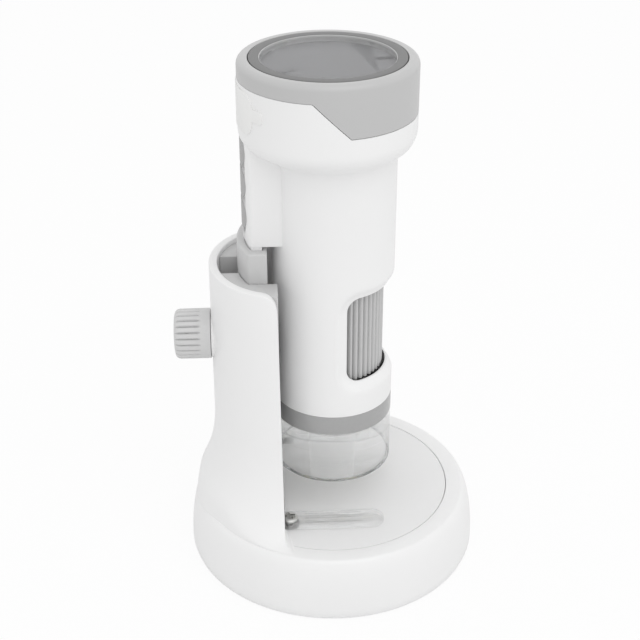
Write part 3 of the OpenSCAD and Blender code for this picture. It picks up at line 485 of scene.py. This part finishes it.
knob = {"radius": 9.2, "length": 13.4, "collar": 4, "flutes": 24, "fluteDepth": 0.95, "fluteHalf": 3.4,
        "start": -44.6, "height": 90.8}
knobMesh = bmesh.new()
bmesh.ops.create_circle(knobMesh, cap_ends=True, radius=knob["radius"], segments=knob["flutes"] * 16)
cap = knobMesh.faces[:]
knobLevels = [(0.4, 0, 0.0), (knob["collar"] - 0.5, 0, 0.0), (knob["collar"], 0.0, 0.5), (knob["collar"] + 0.6, 0, 1.0),
              (knob["length"] - 2.4, 0.05, 1.0), (knob["length"] - 1.7, 0.2, 0.95), (knob["length"] - 1.15, 0.5, 0.7),
              (knob["length"] - 0.75, 0.95, 0.3), (knob["length"] - 0.45, 1.6, 0.05), (knob["length"] - 0.2, 2.9, 0.0),
              (knob["length"] - 0.05, 5.0, 0.0), (knob["length"], 7.6, 0.0)]
for level, shrink, fluted in knobLevels:
    result = bmesh.ops.extrude_face_region(knobMesh, geom=cap)
    cap = [item for item in result["geom"] if isinstance(item, bmesh.types.BMFace)]
    for vert in {v for face in cap for v in face.verts}:
        turn = math.atan2(vert.co.y, vert.co.x)
        pitch = 360 / knob["flutes"]
        off = (math.degrees(turn) + pitch / 2) % pitch - pitch / 2
        groove = max(0.0, 1 - abs(off) / knob["fluteHalf"]) ** 1.2 * knob["fluteDepth"] * fluted
        reach = knob["radius"] - shrink - groove
        vert.co = Vector((reach * math.cos(turn), reach * math.sin(turn), level))
bmesh.ops.recalc_face_normals(knobMesh, faces=knobMesh.faces[:])
bmesh.ops.rotate(knobMesh, verts=knobMesh.verts[:], cent=(0, 0, 0), matrix=Matrix.Rotation(-math.pi / 2, 3, "Y"))
bmesh.ops.translate(knobMesh, verts=knobMesh.verts[:], vec=(knob["start"], 0, knob["height"]))
finishPiece(makeObject("knob", knobMesh), "knob_set", knobGrey, ["knob"])
print("knob done")


# ---- clear stage clips and their screws

clip = {"radius": 4.7, "length": 30.4, "low": 24.3, "thickness": 2, "edge": 0.45, "washer": 3.8, "railHeight": 0.5,
        "railWidth": 0.9, "railGap": 2.6, "railStart": 5.6, "railLength": 21, "x": -17.5, "y": 28,
        "headRadius": 3.2, "headHeight": 1.4, "shank": 1.5, "slot": 0.9}


def clipMesh():
    body = bmesh.new()
    bmesh.ops.create_circle(body, cap_ends=True, radius=clip["radius"], segments=48)
    bmesh.ops.translate(body, verts=[v for v in body.verts if v.co.x > 0.001], vec=(clip["length"], 0, 0))
    thicken(body, (0, 0, clip["thickness"]))
    softEdges(body, clip["edge"], 3, 60)
    parts = [body]
    for k in (-1, 0, 1):
        rail = block((clip["railStart"], k * clip["railGap"] - clip["railWidth"] / 2, clip["thickness"] - 0.05),
                     (clip["railStart"] + clip["railLength"], k * clip["railGap"] + clip["railWidth"] / 2,
                      clip["thickness"] + clip["railHeight"]))
        softEdges(rail, 0.2, 2, 60)
        parts.append(rail)
    parts.append(turned([(clip["shank"] + 0.1, -0.25), (clip["washer"], -0.25), (clip["washer"], 0.05),
                         (clip["shank"] + 0.1, 0.05)], 48))
    return join(*parts)


for side, name in ((-1, "near"), (1, "far")):
    mesh = clipMesh()
    bmesh.ops.translate(mesh, verts=mesh.verts[:], vec=(clip["x"], side * clip["y"], clip["low"]))
    finishPiece(makeObject("clip" + name.capitalize(), mesh), "clip_" + name, clipClear,
                ["stage_clip_" + name])

screws = []
headLow = clip["low"] + clip["thickness"] + 0.05
for side in (-1, 1):
    screw = turned([(0, 18), (clip["shank"], 18), (clip["shank"], headLow), (clip["headRadius"], headLow, 0.15),
                    (clip["headRadius"] - 0.1, headLow + 0.8, 0.5), (1.6, headLow + clip["headHeight"] - 0.02, 0.4),
                    (0, headLow + clip["headHeight"])], 64)
    bmesh.ops.translate(screw, verts=screw.verts[:], vec=(clip["x"], side * clip["y"], 0))
    screws.append(screw)
clipScrews = makeObject("clipScrews", join(*screws))
for side in (-1, 1):
    for turn in (20, 110):
        slot = block((-2.2, -clip["slot"] / 2, headLow + 0.55), (2.2, clip["slot"] / 2, headLow + 3))
        bmesh.ops.rotate(slot, verts=slot.verts[:], cent=(0, 0, 0), matrix=Matrix.Rotation(math.radians(turn), 3, "Z"))
        bmesh.ops.translate(slot, verts=slot.verts[:], vec=(clip["x"], side * clip["y"], 0))
        carve(clipScrews, slot)
finishPiece(clipScrews, "stand", screwSteel, ["clip_screws"])
print("clips done")


# ---- barrel and head shell

barrel = {"radius": 22, "inner": 20, "bottom": 66.4, "shoulderLow": 161.2, "shoulderHigh": 166.8, "headRadius": 30.5,
          "headX": -2, "lip": 192.05, "headInner": 27.3, "shiftFrom": 159.5, "shiftTo": 168,
          "windowX": 3.7, "windowLow": 79.4, "windowHigh": 113.4, "windowCorner": 5,
          "dishWidth": 3.8, "dishDepth": 2.1, "dishInner": 0.65,
          "ringBack": 188.5, "ringFront": 176.6, "ringBackTurn": 102.6, "ringFrontTurn": 79, "seam": 0.15}


def fromWindow(x, z):
    # distance outside the round-cornered window, seen from the side
    corner = barrel["windowCorner"]
    sideways = max(0.0, barrel["windowX"] + corner - x)
    upright = max(0.0, barrel["windowLow"] + corner - z, z - barrel["windowHigh"] + corner)
    return math.hypot(sideways, upright) - corner


def ringStep(gap):
    # wedge along Y that cuts the head ring's lower edge: shallow behind, deep in front, a slant between
    lowX = barrel["headX"] + barrel["headRadius"] * math.cos(math.radians(barrel["ringFrontTurn"])) - gap
    highX = barrel["headX"] + barrel["headRadius"] * math.cos(math.radians(barrel["ringBackTurn"])) - gap
    face = flatFace([(-40, barrel["ringFront"] - gap - 1), (lowX, barrel["ringFront"] - gap - 1),
                     (lowX, barrel["ringFront"] - gap), (highX, barrel["ringBack"] - gap),
                     (-40, barrel["ringBack"] - gap)])
    bmesh.ops.translate(face, verts=face.verts[:], vec=(0, -40, 0))
    return thicken(face, (0, 80, 0))


dense = [barrel["windowLow"] - 7 + 1.1 * i for i in range(45)]
outerLine = [(barrel["radius"], barrel["bottom"], 0.25)] + [(barrel["radius"], z) for z in dense]
innerLine = [(barrel["inner"], z) for z in reversed(dense)] + [(barrel["inner"], barrel["bottom"])]
shell = turned(outerLine + [(barrel["radius"], 140), (barrel["radius"], 150), (barrel["radius"], barrel["shoulderLow"], 2.2),
                            (barrel["headRadius"], barrel["shoulderHigh"], 3.4), (barrel["headRadius"], 172),
                            (barrel["headRadius"], barrel["lip"]), (barrel["headInner"], barrel["lip"]),
                            (barrel["headInner"], 171), (barrel["inner"], 163.5), (barrel["inner"], 140)] + innerLine, 192)
for vert in shell.verts:
    away = fromWindow(vert.co.x, vert.co.z)
    if barrel["bottom"] < vert.co.z < 130 and away < barrel["dishWidth"]:
        reach = math.hypot(vert.co.x, vert.co.y)
        depth = barrel["dishDepth"] if reach > 21 else barrel["dishInner"]
        scale = 1 - depth * (1 - softStep(away / barrel["dishWidth"])) / reach
        vert.co.x *= scale
        vert.co.y *= scale
    vert.co.x += barrel["headX"] * softStep((vert.co.z - barrel["shiftFrom"]) / (barrel["shiftTo"] - barrel["shiftFrom"]))
barrelShell = makeObject("barrelShell", shell)
windowFace = flatFace([(barrel["windowX"], barrel["windowLow"], barrel["windowCorner"]), (60, barrel["windowLow"]),
                       (60, barrel["windowHigh"]), (barrel["windowX"], barrel["windowHigh"], barrel["windowCorner"])], 10)
bmesh.ops.translate(windowFace, verts=windowFace.verts[:], vec=(0, -40, 0))
ringRoom = makeObject("ringRoom", turned([(28.25, barrel["ringFront"] - barrel["seam"]), (34, barrel["ringFront"] - barrel["seam"]),
                                          (34, 200), (28.25, 200)], 192, barrel["headX"]))
carve(ringRoom, ringStep(barrel["seam"]))
carve(barrelShell, thicken(windowFace, (0, 80, 0)), takeMesh(ringRoom))


# ---- port cover: a soft flap wrapped round the back of the head, with a finger tab

port = {"radius": 30.85, "floor": 28.7, "inner": 29.0, "low": 172.65, "high": 186.95, "half": 33, "corner": 5.2,
        "tabTurn": 9.5, "tabLow": 178.4, "tabHigh": 182.8, "tabCorner": 0.9, "edge": 0.5, "gap": 0.18}


def wrappedPlate(corners, inner, outer, centreX, edge=0.0, segments=8):
    # a flat outline in arc length and height, thickened, its outer edges softened, then bent round the head
    bm = flatFace(corners, segments)
    sliceUp(bm, [1.2 * i for i in range(-24, 25)], (1, 0, 0))
    thicken(bm, (0, outer - inner, 0))
    if edge:
        softEdges(bm, edge, 3, 60, lambda item: min(v.co.y for v in item.verts) > (outer - inner) / 2)
    for vert in bm.verts:
        turn = math.pi + vert.co.x / outer
        reach = inner + vert.co.y
        vert.co = Vector((centreX + reach * math.cos(turn), reach * math.sin(turn), vert.co.z))
    bmesh.ops.recalc_face_normals(bm, faces=bm.faces[:])
    return bm


def portOutline(grow, tabGrow):
    near = math.radians(port["half"]) * port["radius"]
    tab = near + math.radians(port["tabTurn"]) * port["radius"] + tabGrow
    return [(-near - grow, port["low"] - grow, port["corner"]), (near + grow, port["low"] - grow, port["corner"]),
            (near + grow, port["tabLow"] - grow, 0.5), (tab, port["tabLow"] - grow, port["tabCorner"]),
            (tab, port["tabHigh"] + grow, port["tabCorner"]), (near + grow, port["tabHigh"] + grow, 0.5),
            (near + grow, port["high"] + grow, port["corner"]), (-near - grow, port["high"] + grow, port["corner"])]


carve(barrelShell, wrappedPlate(portOutline(port["gap"], 0.45), port["floor"], 33, -2),
      block((-32, 1.7, 179.0), (-20, 10.7, 182.2)), block((-32, -13.2, 175.9), (-14, -1.2, 177.6)),
      block((-34, -12.3, 131), (-18.2, 12.3, 164)))
finishPiece(barrelShell, "scope", satinWhite, ["barrel_shell"], 32)
portCover = makeObject("portCover", wrappedPlate(portOutline(0, 0), port["inner"], port["radius"], -2, port["edge"]))
finishPiece(portCover, "port_flap", capWhite, ["port_cover"])
print("barrel done")


# ---- grip spine with its three buttons

spine = {"radius": 29.8, "half": 12.2, "bottom": 131, "top": 169.8, "front": -17, "corner": 3.2, "wing": 15.4,
         "tongueRadius": 29.2, "tongueHalf": 11.6, "tongueFront": -25.2, "tongueLow": 116.5}
button = {"width": 18.8, "height": 10, "pitch": 11.6, "middle": 152, "proud": 0.3, "gap": 0.25, "inner": 26.5,
          "floor": 26.2, "edge": 0.7}
spineMesh = cutDisc(spine["radius"], -2, spine["bottom"], spine["top"], spine["half"], front=spine["front"])
softEdges(spineMesh, spine["corner"], 5, 30,
          lambda edge: abs(edge.verts[0].co.z - edge.verts[1].co.z) > 10 and edge.verts[0].co.x < -25)
softEdges(spineMesh, 0.5, 2, 60, lambda edge: max(v.co.z for v in edge.verts) < spine["bottom"] + 1)
tongue = cutDisc(spine["tongueRadius"], -2, spine["tongueLow"], spine["bottom"] + 1, spine["tongueHalf"],
                 front=spine["tongueFront"])
softEdges(tongue, 0.5, 2, 45)
spineCover = makeObject("spineCover", spineMesh)


def buttonOutline(grow):
    across, up = button["width"] / 2 + grow, button["height"] / 2 + grow
    return lambda z: [(-across, z - up, up - 0.01), (across, z - up, up - 0.01),
                      (across, z + up, up - 0.01), (-across, z + up, up - 0.01)]


for k in (-1, 0, 1):
    height = button["middle"] + k * button["pitch"]
    carve(spineCover, wrappedPlate(buttonOutline(button["gap"])(height), button["floor"], 34, -2, segments=12))
spineCover = makeObject("spineCover", join(takeMesh(spineCover), tongue))
finishPiece(spineCover, "scope", satinWhite, ["spine_cover"])
for k, name in ((1, "top"), (0, "middle"), (-1, "bottom")):
    height = button["middle"] + k * button["pitch"]
    cap = wrappedPlate(buttonOutline(0)(height), button["inner"], spine["radius"] + button["proud"], -2,
                       button["edge"], segments=12)
    finishPiece(makeObject("button" + name.capitalize(), cap), "button_" + name, buttonGrey,
                ["button_" + name])
print("spine and buttons done")


# ---- head ring, bezel and display window

head = {"top": 194.6, "wall": 28.4, "lip": 192.2, "bezel": 26.75, "round": 2.2, "bezelOuter": 26.45,
        "bezelInner": 22.75, "bezelLow": 190, "windowRadius": 22.6, "windowLow": 192.3, "windowHigh": 193.9}
headRing = makeObject("headRing", turned([(barrel["headRadius"], barrel["ringFront"], 0.2), (barrel["headRadius"], 185),
                                          (barrel["headRadius"], head["top"], head["round"]), (head["bezel"], head["top"], 0.25),
                                          (head["bezel"], head["lip"]), (head["wall"], head["lip"]),
                                          (head["wall"], barrel["ringFront"])], 192, barrel["headX"]))
carve(headRing, ringStep(0))
finishPiece(headRing, "scope", pearlGrey, ["head_ring"], 32)
bezelMesh = turned([(head["bezelOuter"], head["bezelLow"]), (head["bezelOuter"], head["top"], 0.2),
                    (head["bezelInner"] + 0.25, head["top"], 0.2), (head["bezelInner"] + 0.25, head["bezelLow"])], 160, -2)
finishPiece(makeObject("bezelRing", bezelMesh), "scope", bezelGrey, ["bezel_ring"])
gasket = turned([(head["bezelInner"] + 0.24, head["bezelLow"]), (head["bezelInner"] + 0.24, head["top"] - 0.1),
                 (head["bezelInner"], head["top"] - 0.25), (head["bezelInner"], head["bezelLow"])], 160, -2)
finishPiece(makeObject("windowGasket", gasket), "scope", pearlGrey, ["bezel_ring"])
film = turned([(0, head["windowLow"] - 0.06), (head["windowRadius"], head["windowLow"] - 0.06),
               (head["windowRadius"], head["windowLow"] - 0.02), (0, head["windowLow"] - 0.02)], 160, -2)
finishPiece(makeObject("displayFilm", film), "scope", displayGrey)  # polariser over the display, grey when off
glass = turned([(0, head["windowLow"]), (head["windowRadius"], head["windowLow"]),
                (head["windowRadius"], head["windowHigh"], 0.2), (0, head["windowHigh"])], 160, -2)
finishPiece(makeObject("displayWindow", glass), "scope", windowGlass, ["display_window"])
print("head done")


# ---- focus wheel, band and clear hood

wheel = {"radius": 18.3, "groove": 1.5, "bore": 14, "ribs": 52, "low": 79.2, "high": 117.5}
wheelMesh = bmesh.new()
bmesh.ops.create_circle(wheelMesh, radius=wheel["radius"], segments=wheel["ribs"] * 10,
                        matrix=Matrix.Translation((0, 0, wheel["low"])))
result = bmesh.ops.extrude_edge_only(wheelMesh, edges=wheelMesh.edges[:])
inner = [item for item in result["geom"] if isinstance(item, bmesh.types.BMVert)]
share = wheel["bore"] / wheel["radius"]
bmesh.ops.scale(wheelMesh, verts=inner, vec=(share, share, 1))
for vert in wheelMesh.verts:
    reach = math.hypot(vert.co.x, vert.co.y)
    if reach > wheel["bore"] + 1:
        turn = math.atan2(vert.co.y, vert.co.x)
        dip = wheel["groove"] * (1 - abs(math.sin(turn * wheel["ribs"] / 2))) ** 1.2
        vert.co.x *= 1 - dip / reach
        vert.co.y *= 1 - dip / reach
thicken(wheelMesh, (0, 0, wheel["high"] - wheel["low"]))
finishPiece(makeObject("focusRing", wheelMesh), "focus_wheel", wheelGrey, ["focus_ring"], 50)

band = turned([(21, 58.9, 0.2), (22, 58.9, 0.2), (22, 66.4, 0.2), (19.85, 66.4), (19.85, 69), (18.65, 69),
               (18.65, 63.7), (9, 63.7, 0.3), (9, 62.3, 0.3), (21, 62.3)], 160)
finishPiece(makeObject("bandRing", band), "scope", bandGrey, ["band_ring"])
hood = turned([(22, 38.5), (22, 58.85), (20.85, 58.85), (20.85, 60.6, 0.2), (20.05, 60.6, 0.2),
               (20.05, 57.7), (20.8, 57.7), (20.8, 38.5)], 160)
finishPiece(makeObject("clearHood", hood), "scope", clearAcrylic, ["clear_hood"])
# the hood's bottom rim, its acrylic given a grey tint that paints in the shade seen along its edge
hoodEdge = turned([(22, 38.1, 0.15), (22, 38.49), (20.8, 38.49), (20.8, 38.1, 0.15)], 160)
finishPiece(makeObject("hoodEdge", hoodEdge), "scope", edgeAcrylicPaintedShade, ["clear_hood"])
print("wheel, band and hood done")


# ---- the CAD nodes that stay get their finishes

finishes = {"bottom_cover": coverGrey, "non_slip_pad": padRubber, "base_screws": screwSteel, "guide_screws": screwSteel,
            "knob_bush": turnedBrass, "knob_shaft": shaftSteel, "pinion": turnedBrass, "lcd_panel": displayGrey,
            "main_board": boardGreen, "board_screws": screwSteel, "usb_socket": shaftSteel, "card_socket": shaftSteel,
            "button_board": boardGreen, "button_switches": blackPlastic, "battery": batteryWrap,
            "chassis": blackPlastic, "sensor_board": boardGreen, "lens_cell": blackPlastic,
            "objective_lens": lensGlass, "led_board": boardWhite, "led_lamps": lampPlastic}
for name, material in finishes.items():
    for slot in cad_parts[name].material_slots:
        slot.material = material
print("finishes done")


# ---- floor, light and camera

studio = {"level": 0.88, "floorShade": 0.1, "keyPower": 2.4, "keySize": 1.0, "keyPlace": (0.25, -0.55, 0.95)}
floorMaterial, tree, place = newMaterial("white_sweep")
paper = addNode(tree, "ShaderNodeTexNoise", values={"Scale": 400.0}, links={"Vector": place})
tone = addNode(tree, "ShaderNodeMapRange", values={"To Min": 0.86, "To Max": 0.9}, links={"Value": paper.outputs["Fac"]})
matt = addNode(tree, "ShaderNodeBsdfDiffuse", links={"Color": tone.outputs[0]})
glow = addNode(tree, "ShaderNodeEmission", values={"Color": (1, 1, 1, 1), "Strength": 1.0})
rays = addNode(tree, "ShaderNodeLightPath")
seen = addNode(tree, "ShaderNodeMath", settings={"operation": "MULTIPLY"}, links={0: rays.outputs["Is Camera Ray"]})
seen.inputs[1].default_value = 1 - studio["floorShade"]
mix = addNode(tree, "ShaderNodeMixShader", links={0: seen.outputs[0], 1: matt.outputs[0], 2: glow.outputs[0]})
finishMaterial(tree, mix)
floorMesh = bmesh.new()
bmesh.ops.create_circle(floorMesh, cap_ends=True, radius=4, segments=64)
floor = makeObject("floor", floorMesh)
floor.data.materials.append(floorMaterial)

world = bpy.data.worlds.new("studio")
scene.world = world
world.use_nodes = True
world.node_tree.nodes.clear()
rays = addNode(world.node_tree, "ShaderNodeLightPath")
first = addNode(world.node_tree, "ShaderNodeMath", settings={"operation": "MAXIMUM"},
                links={0: rays.outputs["Is Camera Ray"], 1: rays.outputs["Is Glossy Ray"]})
direct = addNode(world.node_tree, "ShaderNodeMath", settings={"operation": "MAXIMUM"},
                 links={0: first.outputs[0], 1: rays.outputs["Is Transmission Ray"]})
strength = addNode(world.node_tree, "ShaderNodeMapRange", values={"To Min": studio["level"], "To Max": 1.0},
                   links={"Value": direct.outputs[0]})
background = addNode(world.node_tree, "ShaderNodeBackground", values={"Color": (1, 1, 1, 1)},
                     links={"Strength": strength.outputs[0]})
addNode(world.node_tree, "ShaderNodeOutputWorld", links={"Surface": background.outputs[0]})

key = bpy.data.lights.new("key", "AREA")
key.shape = "DISK"
key.size = studio["keySize"]
key.energy = studio["keyPower"]
keyLamp = bpy.data.objects.new("key", key)
keyLamp.location = studio["keyPlace"]
aim = Vector((0, 0, 0.1)) - Vector(studio["keyPlace"])
keyLamp.rotation_euler = aim.to_track_quat("-Z", "Y").to_euler()
scene.collection.objects.link(keyLamp)

camera = bpy.data.cameras.new("camera")
camera.lens = 74.97
camera.sensor_width = 36
camera.clip_start = 0.01
view = bpy.data.objects.new("camera", camera)
view.location = (-0.02913, -0.42453, 0.33311)
view.rotation_euler = (math.radians(60.74), 0, math.radians(-3.3))
scene.collection.objects.link(view)
scene.camera = view
scene.view_settings.view_transform = "Standard"
print("studio done")
